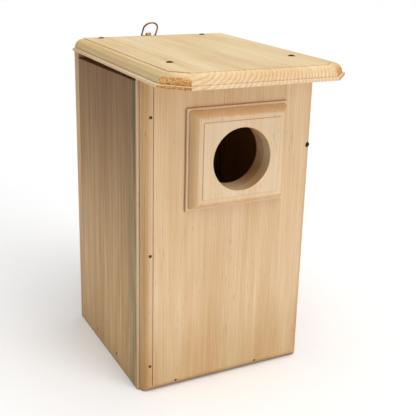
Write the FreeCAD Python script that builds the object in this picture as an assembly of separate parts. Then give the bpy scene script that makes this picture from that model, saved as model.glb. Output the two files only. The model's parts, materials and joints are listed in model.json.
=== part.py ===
import FreeCAD, Part
import math
import os

os.makedirs("parts", exist_ok=True)

# A wooden nest box for small owls and falcons. Millimetres, +Z up.
# The origin is at the middle of the bottom. The entrance faces -Y.

V = FreeCAD.Vector

# boards
BODY_W = 232.0          # across the front
BODY_D = 230.0          # from the front face to the rear face
WALL_H = 390.0          # height of the front and back boards
BOARD = 16.0            # every board has this thickness
LEFT_TOP_FRONT = 386.0  # the left side stops short of the roof, leaving a vent
LEFT_TOP_REAR = 382.0
DOOR_TOP = 384.0
DOOR_BOTTOM = 2.0
DOOR_GAP = 0.8          # free play at the front and the rear of the door
FLOOR_GAP = 0.5
FLOOR_CLIP = 9.0        # clipped floor corners let rain drain out

# moulded edge: a lip, a quarter round and a small step up to the face
LIP_W = 3.0
ROUND_R = 11.5
STEP_W = 1.0
STEP_H = 1.0
LIP_T = BOARD - ROUND_R - STEP_H

# roof
ROOF_SIDE = 2.5         # overhang at each side
ROOF_FRONT = 74.0       # overhang at the front
ROOF_CLIP = 27.0        # clipped front corners

# entrance
HOLE_R = 38.1           # a 3 inch hole
HOLE_X = 4.5
HOLE_Z = 293.0
PLATE_W = 132.0
PLATE_H = 122.0
PLATE_Z = 233.0

# fasteners
ROOF_SCREWS = [(-78.5, -106.0), (80.5, -106.0), (-81.0, 107.0), (68.0, 106.0)]
ROOF_CROWN = 1.7         # how far a roof screw's crown stands above its rim
SIDE_NAIL_X = -104.0
SIDE_NAIL_Z = [36.0, 182.0, 347.5]
FLOOR_NAIL_X = [-69.5, 44.5]
FLOOR_NAIL_Z = 8.7
LEFT_NAIL_Y = [-29.0, 46.0]
LEFT_NAIL_Z = 12.3
PIVOT_X = 107.0
PIVOT_Z = 296.0
PIVOT_R = 1.9
RUNNING = 0.05
PLATE_SCREW_DX = 50.0
PLATE_SCREW_DZ = 45.0
NAIL_R = 1.2
NAIL_HEAD_R = 1.7
NAIL_L = 42.0

# turn button that holds the door shut
BUTTON_Z = 62.0
BUTTON_R = 6.0          # half its width, and both rounded ends
BUTTON_REACH = 21.0     # from the screw to the middle of the far end
BUTTON_T = 1.5
BUTTON_GAP = 0.2
BUTTON_HEAD = 1.6

# hanger
RING_X = -9.0
WIRE_R = 1.15
RING_HALF = 10.4
RING_LEG = 12.0
RING_CORNER = 2.4
RING_LEAN = 32.0
STRAP_T = 1.0
STRAP_W = 7.0
STRAP_LOW = 28.0
STRAP_RISE = 2.2        # the strap's loop stands this much higher than the bar in it

FRONT_Y = -BODY_D / 2
BACK_Y = BODY_D / 2
INNER_FRONT = FRONT_Y + BOARD
INNER_BACK = BACK_Y - BOARD
LEFT_X = -BODY_W / 2
RIGHT_X = BODY_W / 2
ROOF_TOP = WALL_H + BOARD
BAR_Y = BACK_Y + WIRE_R + RUNNING + STRAP_T
LEAN = math.radians(RING_LEAN)
EDGE_GAP = 0.3          # the leaning ring stays just off the roof's rear edge
BAR_Z = ROOF_TOP - ((BAR_Y - BACK_Y) * math.cos(LEAN) - WIRE_R - EDGE_GAP) / math.sin(LEAN)


def block(x0, x1, y0, y1, z0, z1):
    return Part.makeBox(x1 - x0, y1 - y0, z1 - z0, V(x0, y0, z0))


def rod(start, axis, radius, length):
    return Part.makeCylinder(radius, length, start, axis)


def prism(points, direction):
    """A straight prism over a closed polygon."""
    wire = Part.makePolygon(points + [points[0]])
    return Part.Face(wire).extrude(direction)


def moulded_wire(far):
    """Section across a moulded edge: u runs inwards, w from the back to the face."""
    a = V(0, 0, 0)
    b = V(0, 0, LIP_T)
    c = V(LIP_W, 0, LIP_T)
    k = ROUND_R * (1 - math.sqrt(0.5))
    mid = V(LIP_W + k, 0, LIP_T + ROUND_R - k)
    d = V(LIP_W + ROUND_R, 0, LIP_T + ROUND_R)
    e = V(LIP_W + ROUND_R + STEP_W, 0, LIP_T + ROUND_R)
    f = V(LIP_W + ROUND_R + STEP_W, 0, BOARD)
    g = V(far, 0, BOARD)
    h = V(far, 0, 0)
    arc = Part.Arc(c, mid, d).toShape()
    lines = [(a, b), (b, c), (d, e), (e, f), (f, g), (g, h), (h, a)]
    edges = [Part.makeLine(p, q) for p, q in lines]
    return Part.Wire(Part.__sortEdges__(edges + [arc]))


def rounded_wire(far):
    """Section across a plain rounded edge, square at the back."""
    flat = BOARD - ROUND_R
    a = V(0, 0, 0)
    b = V(0, 0, flat)
    k = ROUND_R * (1 - math.sqrt(0.5))
    mid = V(k, 0, BOARD - k)
    c = V(ROUND_R, 0, BOARD)
    d = V(far, 0, BOARD)
    e = V(far, 0, 0)
    arc = Part.Arc(b, mid, c).toShape()
    edges = [Part.makeLine(p, q) for p, q in [(a, b), (c, d), (d, e), (e, a)]]
    return Part.Wire(Part.__sortEdges__(edges + [arc]))


def edge_prism(wire, x, y, angle):
    """A long slab with one shaped edge, through (x, y), its body lying towards angle."""
    half = 700.0
    solid = Part.Face(wire).extrude(V(0, 2 * half, 0))
    solid.translate(V(0, -half, 0))
    solid.rotate(V(0, 0, 0), V(0, 0, 1), angle)
    solid.translate(V(x, y, 0))
    return solid


def shaped(slab, cuts):
    for cut in cuts:
        slab = slab.common(cut)
    return slab


def stand_up(shape, y_back):
    """Turns a slab lying face up so that its face looks along -Y."""
    shape.rotate(V(0, 0, 0), V(1, 0, 0), 90)
    shape.translate(V(0, y_back, 0))
    return shape


def nail(start, axis, length=NAIL_L, head_r=NAIL_HEAD_R):
    """A flat-headed wire nail. start is the middle of the head's outer face."""
    head = rod(start, axis, head_r, 1.0)
    shank = rod(start, axis, NAIL_R, length - 3.0)
    tip_at = start + axis * (length - 3.0)
    tip = Part.makeCone(NAIL_R, 0.2, 3.0, tip_at, axis)
    return head.fuse([shank, tip]).removeSplitter()


def wood_screw(start, axis, length, head_r, shank_r, tall=2.6):
    """A countersunk screw. start is the middle of the head's flat top."""
    head = Part.makeCone(head_r, shank_r, tall, start, axis)
    shank = rod(start, axis, shank_r, length - 5.0)
    tip = Part.makeCone(shank_r, 0.3, 5.0, start + axis * (length - 5.0), axis)
    return head.fuse([shank, tip]).removeSplitter()


def cross_recess(start, axis, side, deep):
    """The two crossed slots in a screw head."""
    other = axis.cross(side)
    recess = None
    for a, b in [(side, other), (other, side)]:
        corner = start - a * 2.2 - b * 0.55
        pts = [corner, corner + a * 4.4, corner + a * 4.4 + b * 1.1, corner + b * 1.1]
        bar = prism(pts, axis * deep)
        recess = bar if recess is None else recess.fuse(bar)
    return recess


def drilled(board, fasteners):
    """Takes the room of each fastener out of a board."""
    for solid in fasteners:
        board = board.cut(solid)
    return board


def roof_screws():
    """Countersunk screws whose heads are raised to a low crown above the roof."""
    down = V(0, 0, -1)
    up = V(0, 0, 1)
    screws = []
    for x, y in ROOF_SCREWS:
        rim = V(x, y, ROOF_TOP - 0.6)
        screw = wood_screw(rim, down, 40.0, 4.2, 1.9)
        shoulder = Part.makeCone(4.2, 3.7, 0.8, rim, up)
        crown = Part.makeCone(3.7, 2.0, ROOF_CROWN - 0.8, rim + up * 0.8, up)
        screws.append(screw.fuse([shoulder, crown]).removeSplitter())
    return screws


def recessed_heads(screws):
    down = V(0, 0, -1)
    heads = []
    for screw, (x, y) in zip(screws, ROOF_SCREWS):
        top = V(x, y, ROOF_TOP - 0.6 + ROOF_CROWN)
        cross = cross_recess(top, down, V(0.8, 0.6, 0), 2.4)
        heads.append(screw.cut(cross))
    return heads


def front_left_nails():
    start_y = FRONT_Y + STEP_H + 0.1
    return [nail(V(SIDE_NAIL_X, start_y, z), V(0, 1, 0)) for z in SIDE_NAIL_Z]


def back_left_nails():
    return [nail(V(LEFT_X + BOARD / 2, BACK_Y, z), V(0, -1, 0)) for z in SIDE_NAIL_Z]


def front_floor_nails():
    y = FRONT_Y + 0.2
    return [nail(V(x, y, FLOOR_NAIL_Z), V(0, 1, 0)) for x in FLOOR_NAIL_X]


def back_floor_nails():
    return [nail(V(x, BACK_Y, BOARD / 2), V(0, -1, 0)) for x in FLOOR_NAIL_X]


def left_floor_nails():
    return [nail(V(LEFT_X, y, LEFT_NAIL_Z), V(1, 0, 0)) for y in LEFT_NAIL_Y]


def pivot_front():
    """A pan-headed screw sunk into the moulded edge; the door turns on its shank."""
    start = V(PIVOT_X, FRONT_Y + 1.6, PIVOT_Z)
    axis = V(0, 1, 0)
    head = rod(start, axis, 3.3, 2.4)
    rim = [e for e in head.Edges if abs(e.BoundBox.YMin - start.y) < 0.01 and e.Length > 5]
    head = head.makeFillet(0.7, rim[:1])
    shank = rod(start, axis, PIVOT_R, 29.0)
    return head.fuse(shank).removeSplitter()


def pivot_back():
    start = V(PIVOT_X, BACK_Y, PIVOT_Z)
    axis = V(0, -1, 0)
    head = Part.makeCone(3.8, PIVOT_R, 2.4, start, axis)
    shank = rod(start, axis, PIVOT_R, 31.0)
    return head.fuse(shank).removeSplitter()


def plate_screws():
    """Driven from inside the box, through the front board into the plate."""
    screws = []
    for dx in (-PLATE_SCREW_DX, PLATE_SCREW_DX):
        for z in (HOLE_Z - PLATE_SCREW_DZ, HOLE_Z + PLATE_SCREW_DZ):
            start = V(HOLE_X + dx, INNER_FRONT, z)
            screws.append(wood_screw(start, V(0, -1, 0), 26.0, 3.6, 1.7))
    return screws


def turn_button():
    """A steel strip with round ends. It hangs down, and turned level it holds the door."""
    x = RIGHT_X + BUTTON_GAP
    y = BACK_Y - BOARD / 2
    low = BUTTON_Z - BUTTON_REACH
    r = BUTTON_R
    edges = [
        Part.Arc(V(x, y - r, BUTTON_Z), V(x, y, BUTTON_Z + r), V(x, y + r, BUTTON_Z)).toShape(),
        Part.makeLine(V(x, y + r, BUTTON_Z), V(x, y + r, low)),
        Part.Arc(V(x, y + r, low), V(x, y, low - r), V(x, y - r, low)).toShape(),
        Part.makeLine(V(x, y - r, low), V(x, y - r, BUTTON_Z)),
    ]
    strip = Part.Face(Part.Wire(edges)).extrude(V(BUTTON_T, 0, 0))
    return strip.cut(rod(V(x - 1, y, BUTTON_Z), V(1, 0, 0), PIVOT_R + RUNNING, 4.0))


def button_screw():
    """A pan-headed screw that the button turns on."""
    x = RIGHT_X + BUTTON_GAP + BUTTON_T + RUNNING
    start = V(x + BUTTON_HEAD, BACK_Y - BOARD / 2, BUTTON_Z)
    axis = V(-1, 0, 0)
    head = rod(start, axis, 3.7, BUTTON_HEAD)
    rim = [e for e in head.Edges if abs(e.BoundBox.XMin - start.x) < 0.01 and e.Length > 5]
    head = head.makeFillet(0.7, rim[:1])
    return head.fuse(rod(start, axis, PIVOT_R, 22.0)).removeSplitter()


def moulded_front():
    slab = block(LEFT_X, RIGHT_X, 0, WALL_H, 0, BOARD)
    cuts = [
        edge_prism(moulded_wire(600), LEFT_X, 0, 0),
        edge_prism(moulded_wire(600), RIGHT_X, 0, 180),
        edge_prism(rounded_wire(900), 0, 0, 90),
    ]
    return stand_up(shaped(slab, cuts), INNER_FRONT)


def front_board(fasteners):
    board = moulded_front()
    hole = rod(V(HOLE_X, FRONT_Y - 1, HOLE_Z), V(0, 1, 0), HOLE_R, BOARD + 2)
    board = board.cut(hole)
    for i in range(6):
        z = 150.0 + 16.0 * i
        kerf = block(HOLE_X - 32, HOLE_X + 32, INNER_FRONT - 2, INNER_FRONT + 1, z, z + 3)
        board = board.cut(kerf)
    return drilled(board, fasteners)


def entrance_plate(fasteners):
    x0 = HOLE_X - PLATE_W / 2
    x1 = HOLE_X + PLATE_W / 2
    z1 = PLATE_Z + PLATE_H
    slab = block(x0, x1, PLATE_Z, z1, 0, BOARD)
    cuts = [
        edge_prism(moulded_wire(600), x0, 0, 0),
        edge_prism(moulded_wire(600), x1, 0, 180),
        edge_prism(moulded_wire(900), 0, PLATE_Z, 90),
        edge_prism(moulded_wire(900), 0, z1, 270),
    ]
    plate = stand_up(shaped(slab, cuts), FRONT_Y)
    hole = rod(V(HOLE_X, FRONT_Y - BOARD - 1, HOLE_Z), V(0, 1, 0), HOLE_R, BOARD + 2)
    return drilled(plate.cut(hole), fasteners)


def back_board(fasteners):
    return drilled(block(LEFT_X, RIGHT_X, INNER_BACK, BACK_Y, 0, WALL_H), fasteners)


def left_side_board(fasteners):
    pts = [
        V(LEFT_X, INNER_FRONT, 0),
        V(LEFT_X, INNER_BACK, 0),
        V(LEFT_X, INNER_BACK, LEFT_TOP_REAR),
        V(LEFT_X, INNER_FRONT, LEFT_TOP_FRONT),
    ]
    return drilled(prism(pts, V(BOARD, 0, 0)), fasteners)


def side_door():
    y0 = INNER_FRONT + DOOR_GAP
    y1 = INNER_BACK - DOOR_GAP
    door = block(RIGHT_X - BOARD, RIGHT_X, y0, y1, DOOR_BOTTOM, DOOR_TOP)
    for y, axis in [(y0 - 1, V(0, 1, 0)), (y1 + 1, V(0, -1, 0))]:
        hole = rod(V(PIVOT_X, y, PIVOT_Z), axis, PIVOT_R + RUNNING, 18.0)
        door = door.cut(hole)
    return door


def floor_board(fasteners):
    x0 = LEFT_X + BOARD
    x1 = RIGHT_X - BOARD - FLOOR_GAP
    y0 = INNER_FRONT
    y1 = INNER_BACK
    c = FLOOR_CLIP
    pts = [
        V(x0 + c, y0, 0),
        V(x1 - c, y0, 0),
        V(x1, y0 + c, 0),
        V(x1, y1 - c, 0),
        V(x1 - c, y1, 0),
        V(x0 + c, y1, 0),
        V(x0, y1 - c, 0),
        V(x0, y0 + c, 0),
    ]
    return drilled(prism(pts, V(0, 0, BOARD)), fasteners)


def roof_board(fasteners):
    x0 = LEFT_X - ROOF_SIDE
    x1 = RIGHT_X + ROOF_SIDE
    y0 = FRONT_Y - ROOF_FRONT
    slab = block(x0, x1, y0, BACK_Y, 0, BOARD)
    cuts = [
        edge_prism(moulded_wire(600), x0, 0, 0),
        edge_prism(moulded_wire(600), x1, 0, 180),
        edge_prism(moulded_wire(600), 0, y0, 90),
        edge_prism(moulded_wire(600), x0, y0 + ROOF_CLIP, 45),
        edge_prism(moulded_wire(600), x1, y0 + ROOF_CLIP, 135),
    ]
    roof = shaped(slab, cuts)
    roof.translate(V(0, 0, WALL_H))
    for x, y in ROOF_SCREWS:
        roof = roof.cut(rod(V(x, y, ROOF_TOP - 0.6), V(0, 0, 1), 4.2, 2.0))
    return drilled(roof, fasteners)


def long_rod(x0, radius, length):
    """A rod along X with an upright oval section, from the bar to the top of the loop."""
    low = rod(V(x0, BAR_Y, BAR_Z), V(1, 0, 0), radius, length)
    high = rod(V(x0, BAR_Y, BAR_Z + STRAP_RISE), V(1, 0, 0), radius, length)
    middle = block(x0, x0 + length, BAR_Y - radius, BAR_Y + radius, BAR_Z, BAR_Z + STRAP_RISE)
    return low.fuse([high, middle])


def hanger_strap():
    """A thin strip folded round the ring's bar, both tails flat on the rear face."""
    x0 = RING_X - STRAP_W / 2
    low = BAR_Z - STRAP_LOW
    outer = WIRE_R + RUNNING + STRAP_T
    tails = block(x0, x0 + STRAP_W, BACK_Y, BACK_Y + 2 * STRAP_T, low, BAR_Z - 3.4)
    inner_web = block(x0, x0 + STRAP_W, BACK_Y, BACK_Y + STRAP_T, BAR_Z - 4, BAR_Z)
    loop = long_rod(x0, outer, STRAP_W)
    web_pts = [
        V(x0, BACK_Y + STRAP_T, BAR_Z - 4.2),
        V(x0, BACK_Y + 2 * STRAP_T, BAR_Z - 4.2),
        V(x0, BAR_Y + outer - 0.02, BAR_Z - 0.4),
        V(x0, BAR_Y + outer - STRAP_T, BAR_Z),
    ]
    web = prism(web_pts, V(STRAP_W, 0, 0))
    strap = tails.fuse([inner_web, loop, web])
    strap = strap.cut(long_rod(x0 - 1, WIRE_R + RUNNING, STRAP_W + 2))
    for screw in hanger_screws():
        strap = strap.cut(screw)
    return strap.removeSplitter()


def hanger_screws():
    screws = []
    for z in (BAR_Z - 8.4, BAR_Z - 22.4):
        start = V(RING_X, BACK_Y + 2 * STRAP_T + 1.5, z)
        axis = V(0, -1, 0)
        head = rod(start, axis, 2.7, 1.5)
        rim = [e for e in head.Edges if abs(e.BoundBox.YMin - start.y) < 0.01]
        rim = [e for e in rim if e.Length > 5]
        head = head.makeFillet(0.6, rim[:1])
        shank = rod(start, axis, 1.4, 14.0)
        screws.append(head.fuse(shank).removeSplitter())
    return screws


def d_ring():
    """A closed D of round wire, drawn upright about its bar and then leaned forward."""
    h = RING_HALF
    c = RING_CORNER
    k = c * (1 - math.sqrt(0.5))
    pts = [
        V(-h + c, 0, 0),
        V(h - c, 0, 0),
        V(h, 0, c),
        V(h, 0, RING_LEG),
        V(-h, 0, RING_LEG),
        V(-h, 0, c),
    ]
    edges = [
        Part.makeLine(pts[0], pts[1]),
        Part.Arc(pts[1], V(h - k, 0, k), pts[2]).toShape(),
        Part.makeLine(pts[2], pts[3]),
        Part.Arc(pts[3], V(0, 0, RING_LEG + h), pts[4]).toShape(),
        Part.makeLine(pts[4], pts[5]),
        Part.Arc(pts[5], V(-h + k, 0, k), pts[0]).toShape(),
    ]
    path = Part.Wire(edges)
    section = Part.Wire(Part.makeCircle(WIRE_R, V(-h + c, 0, 0), V(1, 0, 0)))
    ring = path.makePipeShell([section], True, True)
    ring.rotate(V(0, 0, 0), V(1, 0, 0), RING_LEAN)
    ring.translate(V(RING_X, BAR_Y, BAR_Z))
    return ring


def save(name, shape):
    solids = shape.Solids
    clean = solids[0] if len(solids) == 1 else Part.makeCompound(solids)
    clean.exportStep("parts/" + name + ".step")


def main():
    roof_s = roof_screws()
    front_l = front_left_nails()
    back_l = back_left_nails()
    front_f = front_floor_nails()
    back_f = back_floor_nails()
    left_f = left_floor_nails()
    plate_s = plate_screws()
    pivot_f = pivot_front()
    pivot_b = pivot_back()
    button_s = button_screw()
    hang_s = hanger_screws()

    save("front_board", front_board(front_l + front_f + plate_s + [pivot_f] + roof_s[:2]))
    save("entrance_plate", entrance_plate(plate_s))
    save("back_board", back_board(back_l + back_f + [pivot_b, button_s] + roof_s[2:] + hang_s))
    save("left_side_board", left_side_board(front_l + back_l + left_f))
    save("side_door", side_door())
    save("floor_board", floor_board(front_f + back_f + left_f))
    save("roof_board", roof_board(roof_s + hang_s))
    save("roof_screws", Part.makeCompound(recessed_heads(roof_s)))
    save("front_left_nails", Part.makeCompound(front_l))
    save("back_left_nails", Part.makeCompound(back_l))
    save("front_floor_nails", Part.makeCompound(front_f))
    save("back_floor_nails", Part.makeCompound(back_f))
    save("left_floor_nails", Part.makeCompound(left_f))
    save("plate_screws", Part.makeCompound(plate_s))
    save("pivot_screw_front", pivot_f)
    save("pivot_screw_back", pivot_b)
    save("turn_button", turn_button())
    save("button_screw", button_s)
    save("hanger_strap", hanger_strap())
    save("hanger_screws", Part.makeCompound(hang_s))
    save("d_ring", d_ring())


main()
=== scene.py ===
"""A wooden nest box for small owls and falcons, dressed for a studio picture.

The packed CAD model is the frame. Each board, fastener and fitting below is modelled where its
CAD node is and stands for it. Lengths are in metres unless a name says mm.
"""

import json
import math

import bpy
from mathutils import Euler, Matrix, Quaternion, Vector


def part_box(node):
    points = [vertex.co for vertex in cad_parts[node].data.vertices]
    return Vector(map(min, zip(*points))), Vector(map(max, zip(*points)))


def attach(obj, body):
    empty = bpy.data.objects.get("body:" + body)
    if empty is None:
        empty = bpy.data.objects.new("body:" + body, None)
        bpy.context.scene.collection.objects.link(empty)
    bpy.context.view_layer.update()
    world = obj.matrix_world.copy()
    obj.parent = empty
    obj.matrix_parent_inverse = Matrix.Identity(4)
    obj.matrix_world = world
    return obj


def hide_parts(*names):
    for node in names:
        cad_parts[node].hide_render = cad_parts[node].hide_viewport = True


bl_info = {
    "name": "Nest Box",
    "version": (1, 0, 0),
    "blender": (4, 5, 0),
    "location": "View3D > Sidebar > Nest Box",
    "description": "Models a moulded pine nest box with a pivoting side and a hanging ring",
    "category": "Add Mesh",
}

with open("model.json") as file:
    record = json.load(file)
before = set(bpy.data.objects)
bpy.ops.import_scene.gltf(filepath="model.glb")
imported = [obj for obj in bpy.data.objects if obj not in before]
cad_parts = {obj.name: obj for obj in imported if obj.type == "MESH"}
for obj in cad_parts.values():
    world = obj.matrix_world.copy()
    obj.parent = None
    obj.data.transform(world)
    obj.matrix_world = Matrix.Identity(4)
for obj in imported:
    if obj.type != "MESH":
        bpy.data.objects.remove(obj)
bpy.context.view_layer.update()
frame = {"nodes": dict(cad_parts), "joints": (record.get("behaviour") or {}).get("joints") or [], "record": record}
MM = 0.001


# ---------------------------------------------------------------- sizes and colours


def srgb(code, alpha=1.0):
    """Turns a hex colour as seen on a screen into the linear one that shaders take."""
    parts = [int(code[i : i + 2], 16) / 255 for i in (1, 3, 5)]
    line = [c / 12.92 if c <= 0.04045 else ((c + 0.055) / 1.055) ** 2.4 for c in parts]
    return (*line, alpha)


def length(name, description, mm):
    """A size that the sidebar shows, with its default in millimetres."""
    return bpy.props.FloatProperty(
        name=name, description=description, default=mm * MM,
        min=0.0, subtype="DISTANCE", unit="LENGTH",
    )


def colour(name, description, code):
    """A colour that the sidebar shows, with its default as a hex code."""
    return bpy.props.FloatVectorProperty(
        name=name, description=description, default=srgb(code),
        size=4, min=0.0, max=1.0, subtype="COLOR",
    )


def amount(name, description, default, least, most, **kind):
    """A plain number that the sidebar shows."""
    return bpy.props.FloatProperty(
        name=name, description=description, default=default, min=least, max=most, **kind
    )


class NestBoxSizes(bpy.types.PropertyGroup):
    """Sizes of the mouldings, the hole and the fittings."""

    lip_width: length("Lip width", "How far the thin lip stands out from the round", 3.0)
    lip_thickness: length("Lip thickness", "Wood left in the lip", 3.5)
    round_radius: length("Round", "Radius of the quarter round", 11.5)
    step: length("Step", "Height and width of the small step above the round", 1.0)
    clip: length("Roof clip", "How much is cut off the roof's front corners, along each side", 27.0)
    hole: length("Entrance", "Diameter of the entrance hole", 76.2)
    arris: length("Arris", "How far the sharp edges are rubbed down", 0.35)
    kerf: length("Saw cut", "Height of each foothold cut inside the front", 3.0)
    nail_head: length("Nail head", "Diameter of a wire nail's head", 3.4)
    ring_wire: length("Ring wire", "Diameter of the hanging ring's wire", 2.3)
    strap_gauge: length("Strap gauge", "Thickness of the hanger strap's strip", 0.94)


class NestBoxWood(bpy.types.PropertyGroup):
    """Growth and colour of each board."""

    front_growth: length("Front growth", "Yearly ring width of the front board", 1.9)
    roof_growth: length("Roof growth", "Yearly ring width of the roof board", 4.2)
    front_early: colour("Front spring wood", "Pale wood of the front board", "#DFC39F")
    front_late: colour("Front summer wood", "Ring lines of the front board", "#C29A6C")
    plate_early: colour("Plate spring wood", "Pale wood of the entrance plate", "#E3CDAE")
    plate_late: colour("Plate summer wood", "Ring lines of the entrance plate", "#D6B28A")
    roof_early: colour("Roof spring wood", "Pale wood of the roof", "#F2DDB5")
    roof_late: colour("Roof summer wood", "Ring lines of the roof", "#DDB886")
    side_early: colour("Left side spring wood", "Pale wood of the left side", "#E5BF89")
    side_late: colour("Left side summer wood", "Ring lines of the left side", "#B28450")
    back_early: colour("Back spring wood", "Pale wood of the back board", "#DFBC8C")
    back_late: colour("Back summer wood", "Ring lines of the back board", "#BE8C58")
    door_early: colour("Right side spring wood", "Pale wood of the pivoting side", "#DEBB8D")
    door_late: colour("Right side summer wood", "Ring lines of the pivoting side", "#BA8857")
    floor_early: colour("Floor spring wood", "Pale wood of the floor", "#DDBB8C")
    floor_late: colour("Floor summer wood", "Ring lines of the floor", "#BC8B5A")


class NestBoxMetal(bpy.types.PropertyGroup):
    """Colour of the fasteners and fittings."""

    nail: colour("Nail", "Clean steel of the wire nails", "#5E5548")
    nail_rust: colour("Nail rust", "Steel that damp wood has marked", "#38291C")
    screw: colour("Screw", "Dark coat of the screws", "#35321F")
    screw_worn: colour("Screw, worn", "Where a driver has rubbed the coat", "#1F1E16")
    brass: colour("Brass", "Plating of the hanger", "#A9854E")
    brass_dull: colour("Brass, dull", "Tarnished plating", "#5F4726")
    zinc: colour("Zinc", "Plating of the turn button", "#A8A59C")
    zinc_dull: colour("Zinc, dull", "Plating gone chalky", "#8A867C")


class NestBoxStage(bpy.types.PropertyGroup):
    """Floor, light and camera."""

    floor_size: length("Floor", "Side of the floor sheet", 40000.0)
    paper: colour("Paper", "Colour of the floor sheet", "#FCFCFC")
    lamp: colour("Lamp", "Colour of both softboxes", "#FFFFFF")
    lens: amount("Lens", "Focal length", 67.03, 20.0, 200.0, unit="CAMERA")
    front_light: amount("Front light", "Strength of the front softbox", 1.22, 0.0, 20.0)
    top_light: amount("Top light", "Strength of the overhead softbox", 2.78, 0.0, 20.0)
    room: amount("Room light", "Light of the white room itself", 0.06, 0.0, 1.0, subtype="FACTOR")


# ---------------------------------------------------------------- bench tools


def deselect():
    """Leaves edit mode and selects nothing."""
    active = bpy.context.view_layer.objects.active
    if active and active.mode != "OBJECT":
        bpy.ops.object.mode_set(mode="OBJECT")
    bpy.ops.object.select_all(action="DESELECT")


def activate(piece):
    """Selects one piece alone and makes it the active one."""
    deselect()
    piece.select_set(True)
    bpy.context.view_layer.objects.active = piece


def settle(piece):
    """Moves a piece's place, turn and size into its mesh."""
    activate(piece)
    bpy.ops.object.transform_apply(location=True, rotation=True, scale=True)
    return piece


def added(name):
    """Names the primitive that has just been added, and settles it."""
    piece = bpy.context.active_object
    piece.name = piece.data.name = name
    return settle(piece)


def copy_of(piece):
    """Copies a piece, with its own mesh."""
    activate(piece)
    bpy.ops.object.duplicate(linked=False)
    return bpy.context.active_object


def open_up(piece):
    """Enters edit mode with all of a piece selected."""
    activate(piece)
    bpy.ops.object.mode_set(mode="EDIT")
    bpy.ops.mesh.select_all(action="SELECT")


def close_up():
    """Leaves edit mode."""
    bpy.ops.object.mode_set(mode="OBJECT")


def pull(step):
    """Draws out what is selected in edit mode by one step."""
    bpy.ops.mesh.extrude_region_move(TRANSFORM_OT_translate={"value": step})


def block(name, low, high):
    """A squared block between two corners."""
    low, high = Vector(low), Vector(high)
    deselect()
    bpy.ops.mesh.primitive_cube_add(size=1, location=(low + high) / 2, scale=high - low)
    return added(name)


def turned(name, rings_mm, sides=32):
    """A round piece on the Z axis: rings_mm is a list of (distance along it, radius)."""
    rings = [(along * MM, radius * MM) for along, radius in rings_mm]
    deselect()
    bpy.ops.mesh.primitive_circle_add(
        vertices=sides, radius=rings[0][1], fill_type="NGON", location=(0, 0, rings[0][0])
    )
    piece = added(name)
    open_up(piece)
    for (z0, r0), (z1, r1) in zip(rings, rings[1:]):
        pull((0, 0, z1 - z0))
        grow = r1 / r0
        bpy.ops.transform.resize(value=(grow, grow, 1), center_override=(0, 0, z1))
    bpy.ops.mesh.select_all(action="SELECT")
    bpy.ops.mesh.normals_make_consistent(inside=False)
    close_up()
    return piece


def unpick(piece, mode):
    """Selects nothing of a piece's mesh. mode says whether points, edges or faces are picked."""
    activate(piece)
    bpy.context.tool_settings.mesh_select_mode = mode
    for part in (piece.data.vertices, piece.data.edges, piece.data.polygons):
        part.foreach_set("select", [False] * len(part))


def pick_faces(piece, test):
    """Enters edit mode with only the faces that pass a test selected."""
    unpick(piece, (False, False, True))
    for face in piece.data.polygons:
        face.select = bool(test(face))
    bpy.ops.object.mode_set(mode="EDIT")


def pick_edges(piece, test):
    """Enters edit mode with only the edges whose two ends pass a test selected."""
    unpick(piece, (False, True, False))
    for edge in piece.data.edges:
        a, b = (piece.data.vertices[i] for i in edge.vertices)
        if test(a.co, b.co):
            edge.select = a.select = b.select = True
    bpy.ops.object.mode_set(mode="EDIT")


def bevel(width, segments=1):
    """Bevels the edges picked in edit mode, and leaves it."""
    bpy.ops.mesh.bevel(
        offset=width, segments=segments, profile=0.5, affect="EDGES", clamp_overlap=False
    )
    close_up()


def trim(piece, place, outward):
    """Saws a piece off square at a plane and closes the cut."""
    open_up(piece)
    bpy.ops.mesh.bisect(plane_co=place, plane_no=outward, use_fill=True, clear_outer=True)
    close_up()


def tidy(piece, reach_mm=0.03):
    """Merges doubled points and faces every wall outwards."""
    open_up(piece)
    bpy.ops.mesh.remove_doubles(threshold=reach_mm * MM)
    bpy.ops.mesh.normals_make_consistent(inside=False)
    close_up()


def modify(piece, name, kind, **settings):
    """Puts one modifier on a piece and applies it."""
    activate(piece)
    step = piece.modifiers.new(name, kind)
    for key, value in settings.items():
        setattr(step, key, value)
    bpy.ops.object.modifier_apply(modifier=step.name)


def carve(piece, tools, how="DIFFERENCE"):
    """Cuts a piece with each tool in turn; the tools are used up."""
    for tool in tools:
        modify(piece, "carve", "BOOLEAN", operation=how, solver="EXACT", object=tool)
        bpy.data.objects.remove(tool)


def ease(piece, width, segments=2, sharp=35):
    """Takes the sharpness off every arris and shades the rounds smoothly."""
    angle = math.radians(sharp)
    modify(piece, "ease", "BEVEL", width=width, segments=segments, limit_method="ANGLE",
           angle_limit=angle, use_clamp_overlap=True)
    activate(piece)
    bpy.ops.object.shade_smooth_by_angle(angle=angle)
    # the broad faces keep their own direction, so that they stay flat to the eye
    modify(piece, "flat faces", "WEIGHTED_NORMAL", keep_sharp=True)


def join(name, pieces):
    """Makes one object of several."""
    deselect()
    for piece in pieces:
        piece.select_set(True)
    bpy.context.view_layer.objects.active = pieces[0]
    if len(pieces) > 1:
        bpy.ops.object.join()
    piece = bpy.context.active_object
    piece.name = piece.data.name = name
    return piece


def set_out(name, pattern, spots):
    """Copies a pattern, which points up from the origin, to each (place, direction, spin), every
    copy with its own mesh, and joins the copies. The pattern is used up."""
    copies = []
    for place, along, spin in spots:
        twin = copy_of(pattern)
        aim = Vector((0, 0, 1)).rotation_difference(Vector(along)) @ Quaternion((0, 0, 1), spin)
        twin.location, twin.rotation_euler = place, aim.to_euler()
        copies.append(settle(twin))
    bpy.data.objects.remove(pattern)
    return join(name, copies)


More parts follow.
